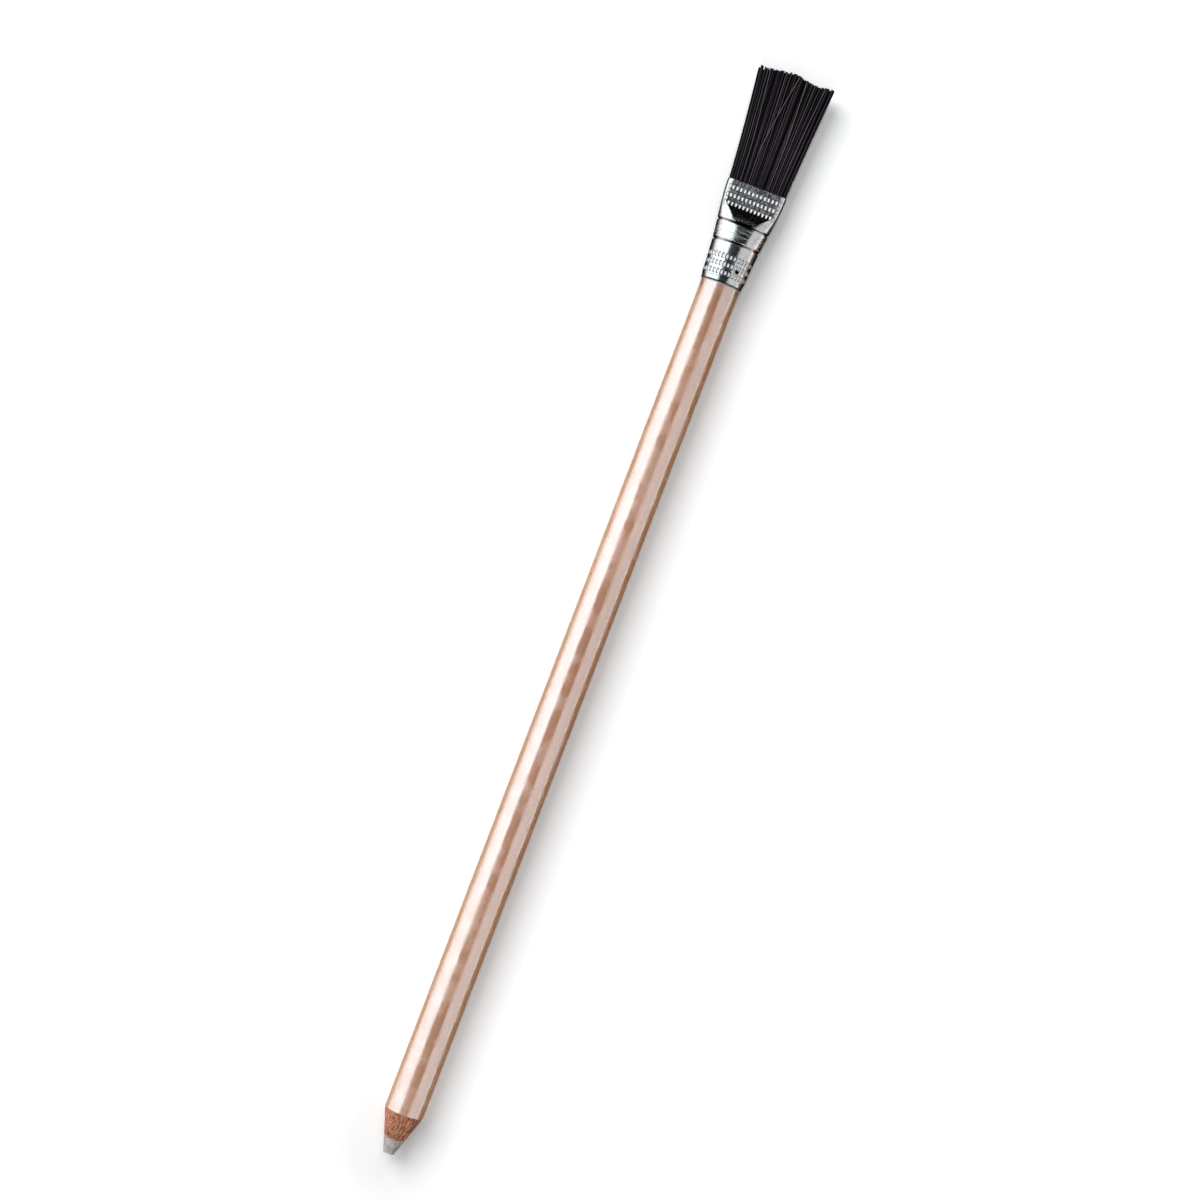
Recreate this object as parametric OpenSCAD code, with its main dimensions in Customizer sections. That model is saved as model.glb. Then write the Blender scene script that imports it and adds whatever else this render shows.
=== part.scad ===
// Typewriter eraser: a wood-cased eraser pencil with a flat brush in a drawn metal ferrule.
// It lies along X with its tip at -X, and the flat of the brush is level.

/* [Barrel] */
// Diameter over the lacquer
barrel_d = 7.2; // [6.4:0.1:8.4]
// Length from the eraser tip to the edge of the ferrule
exposed_length = 167.4; // [60:0.2:180]
// Thickness of the lacquer film
lacquer_t = 0.12; // [0.06:0.01:0.2]
// Diameter of the eraser core
core_d = 4.1; // [3.2:0.1:4.8]
// Length of the bared end inside the ferrule
tenon_length = 7.4; // [5:0.1:9]
// Depth that the bared end is turned down below the wood
shoulder_depth = 0.03; // [0.02:0.01:0.2]
// Room left by the glue between bonded round faces
glue_gap = 0.02; // [0.01:0.01:0.05]

/* [Sharpened end] */
// Diameter of the blunt tip
tip_d = 1.92; // [1:0.02:2.6]
// Radius of the worn edge round the tip
tip_round = 0.2; // [0.05:0.05:0.4]
// Length of the sharpened cone
point_length = 7.85; // [5:0.05:14]

/* [Ferrule collar] */
// Thickness of the drawn sheet
sheet_t = 0.4; // [0.25:0.05:0.5]
// Room between the bared end and the collar crimped on it
crimp_gap = 0.02; // [0.01:0.01:0.05]
// Length of the round collar, up to the first groove
collar_length = 7.02; // [6:0.02:10]
// Length of the straight band at the collar's edge
edge_band = 0.6; // [0.3:0.1:1]
// Length of the shoulder above that band
edge_roll_length = 0.6; // [0.3:0.1:1]
// Growth of the collar's radius over that shoulder
edge_roll = 0.15; // [0.05:0.05:0.3]
// Further growth of its radius up to the first groove
collar_flare = 0.36; // [0.1:0.02:0.6]

/* [Ferrule mouth] */
// Width of each of the two rolled grooves
groove_w = 0.66; // [0.5:0.02:1.4]
// Depth of those grooves
groove_depth = 0.26; // [0.05:0.01:0.3]
// Length of the bead between the grooves
bead_length = 2.94; // [1.5:0.02:5]
// How far the tube is squeezed flatter along the bead
bead_squeeze = 0.75; // [0.3:0.05:1]
// Widening of the tube where it leaves the collar, in mm for each mm of length
widening = 0.09; // [0:0.01:0.2]
// Length of the slope from the bead down to the flat mouth
slope_length = 2.67; // [1.5:0.01:5]
// Step from the bead down to the start of the slope
slope_step = 0.38; // [0.1:0.02:0.6]
// Width of the flat that the dies leave at the start of the slope
slope_w = 3.6; // [2:0.1:5]
// Width of that flat at the end of the slope
flat_w = 8.16; // [6:0.02:9]
// Length of the flat mouth
mouth_length = 4.45; // [4:0.05:8]
// Width of the mouth
mouth_w = 11.2; // [10:0.05:14]
// Thickness of the mouth over the sheet
mouth_t = 2.8; // [2.4:0.1:4]
// Width of the round band beside the flat at the mouth
mouth_band = 1.1; // [0.9:0.05:1.5]

/* [Dimples] */
// Dimples in one row round the ferrule
dimple_count = 34; // [20:1:36]
// Rows on the collar, and on the mouth
dimple_rows = 3; // [1:1:3]
// Distance between rows
dimple_row_pitch = 1.46; // [1:0.02:1.5]
// Width of a dimple
dimple_w = 0.3; // [0.2:0.02:0.5]
// Height of a dimple
dimple_h = 0.6; // [0.4:0.05:0.9]
// Depth of a dimple
dimple_depth = 0.12; // [0.05:0.01:0.15]
// Height of the collar's first row above its edge
collar_row_at = 1.7; // [1.6:0.05:2.2]
// Height of the mouth's first row above the end of the slope
mouth_row_at = 0.2; // [0.2:0.05:0.8]

/* [Brush] */
// Length of the longest bristles outside the mouth
bristle_length = 21.7; // [10:0.1:30]
// Width of the brush at its end
brush_tip_w = 14.7; // [12:0.1:18]
// Thickness of the brush at its end
brush_tip_t = 3.2; // [2.6:0.1:5]
// How far the end of the brush has set to one side
brush_lean = 0.35; // [-1:0.05:1]
// How much lower the bristles end at the sides than in the middle
brush_crown = 0.6; // [0:0.1:2]
// Most that a bristle falls short of its neighbours
bristle_short = 0.7; // [0:0.1:2]
// Thickness of a bristle, point to point
bristle_d = 0.18; // [0.1:0.01:0.2]
// Bristles across the width
bristle_columns = 42; // [30:1:42]
// Bristles through the thickness
bristle_rows = 9; // [7:1:10]
// Share of the fan that the bristles have reached at half their length
bristle_bow = 0.42; // [0.3:0.01:0.5]
// Depth of the bristles' bound roots below the mouth
root_recess = 0.6; // [0.3:0.1:1]
// Thickness of the slice of bound roots
root_slice = 1; // [0.5:0.1:2]
// Length of the cement below those roots
cement_length = 4.4; // [2:0.1:5]
// Room between the ferrule and the cement
cement_gap = 0.1; // [0.06:0.01:0.2]

/* [Hidden] */
$fn = 96;

// Radii of the barrel, from the outside in
barrel_r = barrel_d / 2;
slat_r = barrel_r - lacquer_t - glue_gap;
tenon_r = slat_r - shoulder_depth;
groove_r = core_d / 2 + glue_gap;
barrel_length = exposed_length + tenon_length;

// The sharpened cone
tip_r = tip_d / 2;
point_slope = (barrel_r - tip_r) / point_length;
point_tilt = atan(point_slope);
tip_round_steps = 5;

// Radii and places along the ferrule, measured from the collar's edge
edge_r = tenon_r + crimp_gap + sheet_t;
collar_top_r = edge_r + edge_roll + collar_flare;
edge_roll_end = edge_band + edge_roll_length;
groove_1 = collar_length + groove_w / 2;
groove_2 = groove_1 + groove_w + bead_length;
slope_from = groove_2 + groove_w / 2;
flat_from = slope_from + slope_length;
ferrule_length = flat_from + mouth_length;
mouth_end_r = mouth_t / 2;
slope_depth = collar_top_r - bead_squeeze - slope_step;
// The folds beside the flat are sharp on the slope and softer along the mouth: how far the middle of
// the round side lies inside the fold, and the length over which that changes
slope_fold = slope_w / 2;
flat_fold = 1.2;
mouth_fold = 0.3;
fold_length = mouth_length / 3;

// The flattened part laps over the end of the collar and is this much fuller there
lap = 0.4;
lap_skin = 0.03;
// Straight run in the middle of a section that is still round
least_run = 0.05;
// Facets in half a section, and steps along the parts of the ferrule
section_steps = 24;
groove_steps = 4;
slope_steps = 4;
mouth_steps = 3;

// Places of the brush, measured from the collar's edge
root_top = ferrule_length - root_recess;
root_bottom = root_top - root_slice;
cement_from = root_bottom - cement_length;
bristle_end = ferrule_length + bristle_length;
// A bristle tapers a little towards its end, and stands off its place by part of its own thickness
bristle_tip_share = 0.85;
bristle_wander = 0.2;
bristle_seed = 7;

// The whole object, and the height of its axis when it lies on the collar
total_length = exposed_length + bristle_end;
axis_height = collar_top_r + lap_skin;

function lerp(a, b, t) = a + (b - a) * t;
function clamp01(t) = max(0, min(1, t));
function joined(lists) = [for (l = lists) each l];

// Distance from the tip at which the sharpened cone has the radius r
function point_at(r) = (r - tip_r) / point_slope;

// Radius of the round collar at the height z
function collar_r(z) =
    z < edge_band ? edge_r :
    z < edge_roll_end ? edge_r + edge_roll * (z - edge_band) / edge_roll_length :
    lerp(edge_r + edge_roll, collar_top_r, (z - edge_roll_end) / (collar_length - edge_roll_end));

// Depth of a rolled groove at the height z, for the groove centred on the height at
function rolled(z, at) =
    abs(z - at) < groove_w / 2 ? groove_depth * (1 + cos(360 * (z - at) / groove_w)) / 2 : 0;

// Half the width of the flattened tube at the height z
function half_width(z) =
    let (length = ferrule_length - collar_length, t = clamp01((z - collar_length) / length))
    lerp(collar_top_r, mouth_w / 2, t * t * (3 - 2 * t)) + widening * length * t * pow(1 - t, 2);

// Share of the way from the second groove's bottom to the start of the slope, and down the slope
function past_groove(z) = clamp01((z - groove_2) / (slope_from - groove_2));
function down_slope(z) = clamp01((z - slope_from) / slope_length);

// Half its thickness
function half_depth(z) =
    z < groove_2 ? collar_top_r - bead_squeeze * clamp01((z - collar_length) / (groove_2 - collar_length)) :
    z < slope_from ? lerp(collar_top_r - bead_squeeze, slope_depth, past_groove(z)) :
    lerp(slope_depth, mouth_end_r, down_slope(z));

// Half the width of the flat that the dies leave on its upper and lower side
function half_run(z) =
    z < slope_from ? lerp(least_run, slope_w / 2, past_groove(z)) :
    z < flat_from ? lerp(slope_w, flat_w, down_slope(z)) / 2 :
    lerp(flat_w / 2, mouth_w / 2 - mouth_band, clamp01((z - flat_from) / mouth_length));

// How far the middle of the round side lies inside the fold at the edge of that flat
function fold(z) =
    z < slope_from ? slope_fold * past_groove(z) :
    z < flat_from ? lerp(slope_fold, flat_fold, down_slope(z)) :
    lerp(flat_fold, mouth_fold, clamp01((z - flat_from) / fold_length));

// One section at the height z, with its wall moved inwards: two flats, and a piece of an ellipse on each side
function section(z, inwards) =
    let (
        run = half_run(z),
        middle = run - fold(z),
        rx = half_width(z) - inwards - middle,
        lean = acos(fold(z) / rx),
        ry = (half_depth(z) - inwards) / sin(lean)
    )
    [for (side = [1, -1], k = [0 : section_steps])
        let (turn = lean * (2 * k / section_steps - 1))
        [side * (middle + rx * cos(turn)), side * ry * sin(turn), z]];

// Triangles of the skin round a stack of rings of n points, the first of them numbered from
function skin(from, rings, n) = joined(
    [for (i = [0 : rings - 2], k = [0 : n - 1])
        let (a = from + i * n + k, b = from + i * n + (k + 1) % n)
        [[a, b + n, b], [a, a + n, b + n]]]);

// Triangles of the ring between an outer and an inner loop of n points
function rim(outer, inner, n) = joined(
    [for (k = [0 : n - 1])
        let (next = (k + 1) % n)
        [[outer + k, inner + next, outer + next], [outer + k, inner + k, inner + next]]]);

// Triangles that close a loop of n points about a middle point
function cap(middle, loop, n) = [for (k = [0 : n - 1]) [middle, loop + (k + 1) % n, loop + k]];
function reversed(faces) = [for (f = faces) [f[2], f[1], f[0]]];

// Lay the pencil down: across becomes Y, through the flat becomes Z, and its length runs along X
module laid() {
    translate([-total_length / 2, 0, axis_height])
        rotate([90, 0, 90])
            children();
}

module laid_at_ferrule() {
    laid() translate([0, 0, exposed_length]) children();
}

// The abrasive rubber rod, bared and blunted at the tip
module eraser_core() {
    worn_edge = [for (k = [0 : tip_round_steps])
        let (
            a = (90 - point_tilt) * k / tip_round_steps,
            middle_r = tip_r - tip_round * tan(45 - point_tilt / 2)
        )
        [middle_r + tip_round * sin(a), tip_round * (1 - cos(a))]];
    color("#b1a59f")
        laid()
            rotate_extrude()
                polygon(concat(
                    [[0, 0]],
                    worn_edge,
                    [
                        [core_d / 2, point_at(core_d / 2)],
                        [core_d / 2, barrel_length],
                        [0, barrel_length]
                    ]));
}

// Half of the casing: a grooved slat, sharpened at one end and turned down at the other
module slat() {
    rotate_extrude(angle = 180)
        polygon([
            [groove_r, point_at(groove_r)],
            [slat_r, point_at(slat_r)],
            [slat_r, exposed_length],
            [tenon_r, exposed_length],
            [tenon_r, barrel_length],
            [groove_r, barrel_length]
        ]);
}

module upper_slat() {
    color("#b5714f") laid() slat();
}

module lower_slat() {
    color("#ad6a49") laid() rotate([0, 0, 180]) slat();
}

// The film of lacquer between the sharpened cone and the ferrule
module lacquer_coat() {
    inner_r = barrel_r - lacquer_t;
    color("#cda584")
        laid()
            rotate_extrude()
                polygon([
                    [inner_r, point_at(inner_r)],
                    [barrel_r, point_length],
                    [barrel_r, exposed_length],
                    [inner_r, exposed_length]
                ]);
}

// The round collar that is crimped on the bared end of the barrel
module collar() {
    heights = [0, edge_band, edge_roll_end, collar_length];
    rotate_extrude()
        polygon(concat(
            [for (z = heights) [collar_r(z), z]],
            [for (i = [3 : -1 : 0]) [collar_r(heights[i]) - sheet_t, heights[i]]]));
}

// The part of the tube above the collar, grooved and then flattened to the mouth
module flattened_tube() {
    heights = concat(
        [collar_length - lap],
        [for (at = [groove_1, groove_2], k = [0 : groove_steps]) at + groove_w * (k / groove_steps - 0.5)],
        [for (k = [1 : slope_steps]) lerp(slope_from, flat_from, k / slope_steps)],
        [for (k = [1 : mouth_steps]) lerp(flat_from, ferrule_length, k / mouth_steps)]);
    sections = len(heights);
    n = 2 * (section_steps + 1);
    full = [for (z = heights) lap_skin * clamp01((groove_1 - z) / (groove_w / 2))];
    sunk = [for (z = heights) rolled(z, groove_1) + rolled(z, groove_2)];
    outer = [for (i = [0 : sections - 1]) section(heights[i], sunk[i] - full[i])];
    inner = [for (i = [0 : sections - 1]) section(heights[i], sunk[i] + full[i] + sheet_t)];
    inside = sections * n;
    last = (sections - 1) * n;
    polyhedron(
        points = joined(concat(outer, inner)),
        faces = concat(
            skin(0, sections, n),
            reversed(skin(inside, sections, n)),
            reversed(rim(0, inside, n)),
            rim(last, inside + last, n)));
}

// One punched dimple at a place on the wall, facing the given way
module dimple(place, facing) {
    proud = 0.5;
    translate(place)
        rotate([0, 0, facing])
            translate([-dimple_depth, -dimple_w / 2, -dimple_h / 2])
                cube([dimple_depth + proud, dimple_w, dimple_h]);
}

module collar_dimples() {
    for (row = [0 : dimple_rows - 1]) {
        z = collar_row_at + row * dimple_row_pitch;
        for (i = [0 : dimple_count - 1]) {
            facing = 360 * i / dimple_count;
            dimple([collar_r(z) * cos(facing), collar_r(z) * sin(facing), z], facing);
        }
    }
}

// Place and direction at a distance s round a slot shape, from the middle of its upper flat
function slot_at(s, run, r) =
    let (arc = 180 / PI / r, half_turn = PI * r)
    s < run ? [s, r, 90] :
    s < run + half_turn ?
        let (a = 90 - (s - run) * arc) [run + r * cos(a), r * sin(a), a] :
    s < 3 * run + half_turn ? [2 * run + half_turn - s, -r, -90] :
    s < 3 * run + 2 * half_turn ?
        let (a = -90 - (s - 3 * run - half_turn) * arc) [-run + r * cos(a), r * sin(a), a] :
    [s - 4 * run - 2 * half_turn, r, 90];

module mouth_dimples() {
    for (row = [0 : dimple_rows - 1]) {
        z = flat_from + mouth_row_at + row * dimple_row_pitch;
        run = half_width(z) - mouth_end_r;
        round_length = 4 * run + 2 * PI * mouth_end_r;
        for (i = [0 : dimple_count - 1]) {
            spot = slot_at(round_length * (i + 0.5) / dimple_count, run, mouth_end_r);
            dimple([spot[0], spot[1], z], spot[2]);
        }
    }
}

// One drawn tube: round collar, two rolled grooves, slope and flat mouth, with its rows of dimples
module ferrule() {
    color("silver")
        laid_at_ferrule() {
            difference() {
                collar();
                collar_dimples();
            }
            difference() {
                flattened_tube();
                mouth_dimples();
            }
        }
}

// The set cement that fills the mouth below the bound roots
module root_cement() {
    heights = concat(
        [cement_from],
        [for (k = [0 : slope_steps])
            let (z = lerp(slope_from, flat_from, k / slope_steps))
            if (z > cement_from && z < root_bottom) z],
        [for (k = [1 : mouth_steps])
            let (z = lerp(flat_from, ferrule_length, k / mouth_steps))
            if (z > cement_from && z < root_bottom) z],
        [root_bottom]);
    sections = len(heights);
    n = 2 * (section_steps + 1);
    rings = [for (z = heights) section(z, sheet_t + cement_gap)];
    middle = sections * n;
    color("#5c4a38")
        laid_at_ferrule()
            polyhedron(
                points = concat(joined(rings), [[0, 0, cement_from], [0, 0, root_bottom]]),
                faces = concat(
                    skin(0, sections, n),
                    reversed(cap(middle, 0, n)),
                    cap(middle + 1, (sections - 1) * n, n)));
}

// The tuft: rows of three-sided bristles that rise from a slice of their bound roots and fan out
module bristles() {
    columns = bristle_columns;
    rows = bristle_rows;
    root_r = mouth_end_r - sheet_t - cement_gap;
    root_run = half_width(root_bottom) - mouth_end_r;
    jitter = rands(-1, 1, 2 * columns * rows, bristle_seed);
    short = rands(0, 1, columns * rows, bristle_seed + 1);

    // The slice's outline is a slot, so each line of the grid is as wide as the slot is there
    function root(u, v) =
        [u * (root_run + sqrt(max(0, root_r * root_r - pow(v * root_r, 2)))), v * root_r];
    function grid_u(i) = 2 * i / columns - 1;
    function grid_v(j) = 2 * j / rows - 1;
    function tip(u, v) = [brush_lean + u * brush_tip_w / 2, v * brush_tip_t / 2];
    function ring(middle, r, z) = [for (a = [210, 330, 90]) [middle[0] + r * cos(a), middle[1] + r * sin(a), z]];

    // The three rings of the bristle in one cell of the grid
    function bristle(i, j) =
        let (
            id = j * columns + i,
            u = grid_u(i + 0.5),
            v = grid_v(j + 0.5),
            stray = bristle_d * bristle_wander * [jitter[2 * id], jitter[2 * id + 1]],
            from = root(u, v) + stray / 2,
            to = tip(u, v) + stray,
            end = bristle_end - brush_crown * u * u - bristle_short * pow(short[id], 2),
            r = bristle_d / 2
        )
        concat(
            ring(from, r, root_top),
            ring(lerp(from, to, bristle_bow), r, lerp(root_top, end, 0.5)),
            ring(to, r * bristle_tip_share, end));

    // Corners of the grid, then the bristles, then the slice's lower edge and its middle
    first_bristle = (columns + 1) * (rows + 1);
    first_low = first_bristle + 9 * columns * rows;
    edge_count = 2 * (columns + rows);
    middle = first_low + edge_count;
    function corner(i, j) = j * (columns + 1) + i;
    function edge(k) =
        k < columns ? [k, 0] :
        k < columns + rows ? [columns, k - columns] :
        k < 2 * columns + rows ? [2 * columns + rows - k, rows] :
        [0, edge_count - k];
    edges = [for (k = [0 : edge_count - 1]) edge(k)];

    // The upper face of one cell round its bristle, and the bristle itself
    function cell_faces(i, j) =
        let (
            a = corner(i, j),
            b = corner(i + 1, j),
            c = corner(i + 1, j + 1),
            d = corner(i, j + 1),
            r = first_bristle + 9 * (j * columns + i)
        )
        concat(
            [[r + 1, b, a], [r, r + 1, a], [r + 1, c, b], [r + 1, r + 2, c]],
            [[r + 2, d, c], [r + 2, r, d], [r, a, d]],
            skin(r, 3, 3),
            [[r + 8, r + 7, r + 6]]);
    function edge_faces(k) =
        let (
            next = (k + 1) % edge_count,
            high = corner(edges[k][0], edges[k][1]),
            high_next = corner(edges[next][0], edges[next][1])
        )
        [
            [first_low + k, high_next, first_low + next],
            [first_low + k, high, high_next],
            [first_low + k, first_low + next, middle]
        ];

    color("#1f1b1f")
        laid_at_ferrule()
            polyhedron(
                points = concat(
                    [for (j = [0 : rows], i = [0 : columns])
                        concat(root(grid_u(i), grid_v(j)), [root_top])],
                    joined([for (j = [0 : rows - 1], i = [0 : columns - 1]) bristle(i, j)]),
                    [for (e = edges) concat(root(grid_u(e[0]), grid_v(e[1])), [root_bottom])],
                    [[0, 0, root_bottom]]),
                faces = concat(
                    joined([for (j = [0 : rows - 1], i = [0 : columns - 1]) cell_faces(i, j)]),
                    joined([for (k = [0 : edge_count - 1]) edge_faces(k)])));
}

eraser_core();
upper_slat();
lower_slat();
lacquer_coat();
ferrule();
root_cement();
bristles();
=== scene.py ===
import math
import random

import bmesh
import bpy
import numpy as np
from mathutils import Matrix, Vector, noise


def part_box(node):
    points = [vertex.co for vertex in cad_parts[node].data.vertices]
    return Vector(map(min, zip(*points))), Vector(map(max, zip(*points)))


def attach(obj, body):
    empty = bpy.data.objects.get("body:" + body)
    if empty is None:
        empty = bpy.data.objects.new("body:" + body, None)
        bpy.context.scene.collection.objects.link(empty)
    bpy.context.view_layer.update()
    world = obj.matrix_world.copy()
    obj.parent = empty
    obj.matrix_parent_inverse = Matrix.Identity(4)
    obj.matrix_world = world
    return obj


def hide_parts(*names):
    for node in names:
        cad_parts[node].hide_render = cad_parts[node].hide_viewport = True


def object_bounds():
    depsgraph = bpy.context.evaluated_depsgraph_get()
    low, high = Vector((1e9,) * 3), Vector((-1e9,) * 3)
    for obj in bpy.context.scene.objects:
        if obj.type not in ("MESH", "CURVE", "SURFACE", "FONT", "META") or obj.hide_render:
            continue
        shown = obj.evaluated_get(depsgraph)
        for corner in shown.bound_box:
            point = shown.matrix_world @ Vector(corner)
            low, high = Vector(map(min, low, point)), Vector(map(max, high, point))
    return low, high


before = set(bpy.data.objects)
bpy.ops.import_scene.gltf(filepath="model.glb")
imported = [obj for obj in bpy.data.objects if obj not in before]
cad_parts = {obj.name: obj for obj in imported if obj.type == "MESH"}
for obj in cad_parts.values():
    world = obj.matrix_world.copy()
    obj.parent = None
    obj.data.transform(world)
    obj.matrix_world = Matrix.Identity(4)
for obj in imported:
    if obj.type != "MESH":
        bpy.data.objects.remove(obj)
cad_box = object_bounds()

# Eraser core
# The rod of abrasive rubber that runs through the pencil, sharpened with the wood round it.
# Its bare tip is matt, gritty and a little worn, and the rest of it is glued into the casing.
MM = 0.001
core_low, core_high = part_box("eraser_core")
barrel_low, barrel_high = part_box("lacquer_coat")
AXIS = Vector((0, 0, (core_low[2] + core_high[2]) / 2))
TIP_X = core_low[0]
CORE_R = (core_high[2] - core_low[2]) / 2
BARREL_R = (barrel_high[2] - barrel_low[2]) / 2
TIP_R = 0.96 * MM
TIP_FULLNESS = 0.1 * MM
TIP_FACE_RINGS = (0, 0.35, 0.6)
TIP_ROUND = 0.12 * MM
TIP_ROUND_ARC = math.radians(75)
TIP_ROUND_STEPS = 6
CORE_CONE_FROM = 0.2 * MM
CORE_CONE_STEPS = 26
POINT_LENGTH = 7.85 * MM
POINT_SLOPE = (BARREL_R - TIP_R) / POINT_LENGTH
TURN_STEPS = 128
WEAR_DEPTH = 0.035 * MM
WEAR_COARSE = 0.5 * MM
WEAR_FINE = 0.17 * MM
WEAR_FADE = 0.5 * MM
WEAR_ENDS = 0.02 * MM
TIP_WEAR_DEPTH = 0.03 * MM
TIP_WEAR_GRAIN = 0.4 * MM
GRIT_RELIEF = 0.1 * MM
LIT_SIDE_Y = 0.5 * MM
SHADED_SIDE_Y = -0.8 * MM
SMEAR_LENGTH = 0.4 * MM
SMEAR_FROM = -0.04 * MM
SMEAR_TO = 0.02 * MM
ERASER_PALE = (0.74, 0.67, 0.64, 1)
ERASER_DARK = (0.5, 0.44, 0.41, 1)
ERASER_SPECK = (0.16, 0.14, 0.11, 1)
SMEARED_WOOD = (0.56, 0.24, 0.13, 1)
SMEARED_DARK = (0.26, 0.1, 0.05, 1)


def point_x(r):
    """Place along X at which the sharpened cone has the radius r."""
    return TIP_X + (r - TIP_R) / POINT_SLOPE


def along(start, end, steps):
    """Points of a profile from start to end, both included."""
    return [tuple(Vector(start).lerp(Vector(end), k / steps)) for k in range(steps + 1)]


def turned(profile, closed=False):
    """A mesh turned about the pencil's axis from points along X and out from the axis."""
    bm = bmesh.new()
    line = [bm.verts.new((x, 0, AXIS.z + r)) for x, r in profile]
    pairs = zip(line, line[1:] + line[:1]) if closed else zip(line, line[1:])
    edges = [bm.edges.new(pair) for pair in pairs]
    bmesh.ops.spin(
        bm,
        geom=line + edges,
        cent=AXIS,
        axis=(1, 0, 0),
        angle=math.tau,
        steps=TURN_STEPS,
        use_merge=True,
    )
    bmesh.ops.remove_doubles(bm, verts=bm.verts, dist=1e-7)
    bmesh.ops.recalc_face_normals(bm, faces=bm.faces)
    return bm


def out_from_axis(point):
    """The way from the pencil's axis straight out to a point."""
    return Vector((0, point.y, point.z - AXIS.z))


class Value:
    """A number that changes over a surface: the socket of a shader node, with arithmetic."""

    def __init__(self, nodes, socket):
        self.nodes = nodes
        self.socket = socket

    def math(self, operation, a, b=0.0):
        return self.nodes.node("ShaderNodeMath", {"operation": operation}, {0: a, 1: b})

    def __add__(self, other):
        return self.math("ADD", self, other)

    __radd__ = __add__

    def __sub__(self, other):
        return self.math("SUBTRACT", self, other)

    def __rsub__(self, other):
        return self.math("SUBTRACT", other, self)

    def __mul__(self, other):
        return self.math("MULTIPLY", self, other)

    __rmul__ = __mul__

    def __pow__(self, other):
        return self.math("POWER", self, other)

    def __abs__(self):
        return self.math("ABSOLUTE", self)

    def at_least(self, other):
        return self.math("MAXIMUM", self, other)


class Nodes:
    """A node tree, with the one method that adds nodes to it and short ways to the common ones."""

    def __init__(self, tree):
        self.tree = tree

    def node(self, kind, settings=None, inputs=None, output=0):
        made = self.tree.nodes.new(kind)
        for name, value in (settings or {}).items():
            if name == "stops":
                self.set_stops(made.color_ramp, value)
            else:
                setattr(made, name, value)
        for socket, value in (inputs or {}).items():
            self.feed(made.inputs[socket], value)
        return Value(self, made.outputs[output])

    def feed(self, socket, value):
        if isinstance(value, Value):
            self.tree.links.new(value.socket, socket)
        else:
            socket.default_value = value

    @staticmethod
    def set_stops(ramp, stops):
        while len(ramp.elements) < len(stops):
            ramp.elements.new(1.0)
        for element, (position, colour) in zip(ramp.elements, stops):
            element.position = position
            element.color = colour

    def ramp(self, value, *stops):
        return self.node("ShaderNodeValToRGB", {"stops": stops}, {0: value})

    def between(self, value, low, high):
        """0 at low and before it, 1 at high and past it, and a smooth rise between them."""
        return self.node(
            "ShaderNodeMapRange",
            {"interpolation_type": "SMOOTHSTEP"},
            {"Value": value, "From Min": low, "From Max": high},
        )

    def mix(self, share, first, second):
        """A colour that goes from the first to the second as the share goes from 0 to 1."""
        return self.node(
            "ShaderNodeMix", {"data_type": "RGBA"}, {0: share, 6: first, 7: second}, output=2
        )


class Finish(Nodes):
    """A material of the pencil, with its surface shader and patterns measured on the piece."""

    def __init__(self, name, **constants):
        self.material = bpy.data.materials.new(name)
        self.material.use_nodes = True
        super().__init__(self.material.node_tree)
        self.surface = self.tree.nodes["Principled BSDF"]
        self.place = self.node("ShaderNodeTexCoord", output="Object")
        self.paint(**constants)

    def paint(self, **inputs):
        for socket, value in inputs.items():
            self.feed(self.surface.inputs[socket.replace("_", " ")], value)

    def noise(self, scale, stretch=(1, 1, 1), detail=3.0, roughness=0.5, shift=(0, 0, 0)):
        """Noise with about scale bumps to the metre, drawn out by the stretch along each axis."""
        size = tuple(scale / s for s in stretch)
        spot = self.node(
            "ShaderNodeMapping", None, {"Vector": self.place, "Scale": size, "Location": shift}
        )
        inputs = {"Vector": spot, "Scale": 1.0, "Detail": detail, "Roughness": roughness}
        return self.node("ShaderNodeTexNoise", None, inputs)

    def bump(self, height, depth):
        """Normals of a surface whose relief is height times depth in metres."""
        inputs = {"Height": height, "Strength": 1.0, "Distance": depth}
        return self.node("ShaderNodeBump", None, inputs)

    def along(self, axis):
        return self.node("ShaderNodeSeparateXYZ", None, {0: self.place}, output=axis)

    def across(self, middle=0.0):
        """Distance to either side of the plane Y = middle."""
        return abs(self.along("Y") - middle)

    def painted(self, attribute):
        """A number that the mesh carries at each of its points."""
        return self.node("ShaderNodeAttribute", {"attribute_name": attribute}, output="Fac")


def finished(node, bm, material, crease=35):
    """Make a mesh the piece that stands on the pencil in place of its CAD node."""
    mesh = bpy.data.meshes.new(node)
    for face in bm.faces:
        face.smooth = True
    bm.to_mesh(mesh)
    bm.free()
    mesh.set_sharp_from_angle(angle=math.radians(crease))
    mesh.materials.append(material)
    piece = bpy.data.objects.new(node, mesh)
    bpy.context.collection.objects.link(piece)
    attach(piece, "root")
    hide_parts(node)


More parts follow.
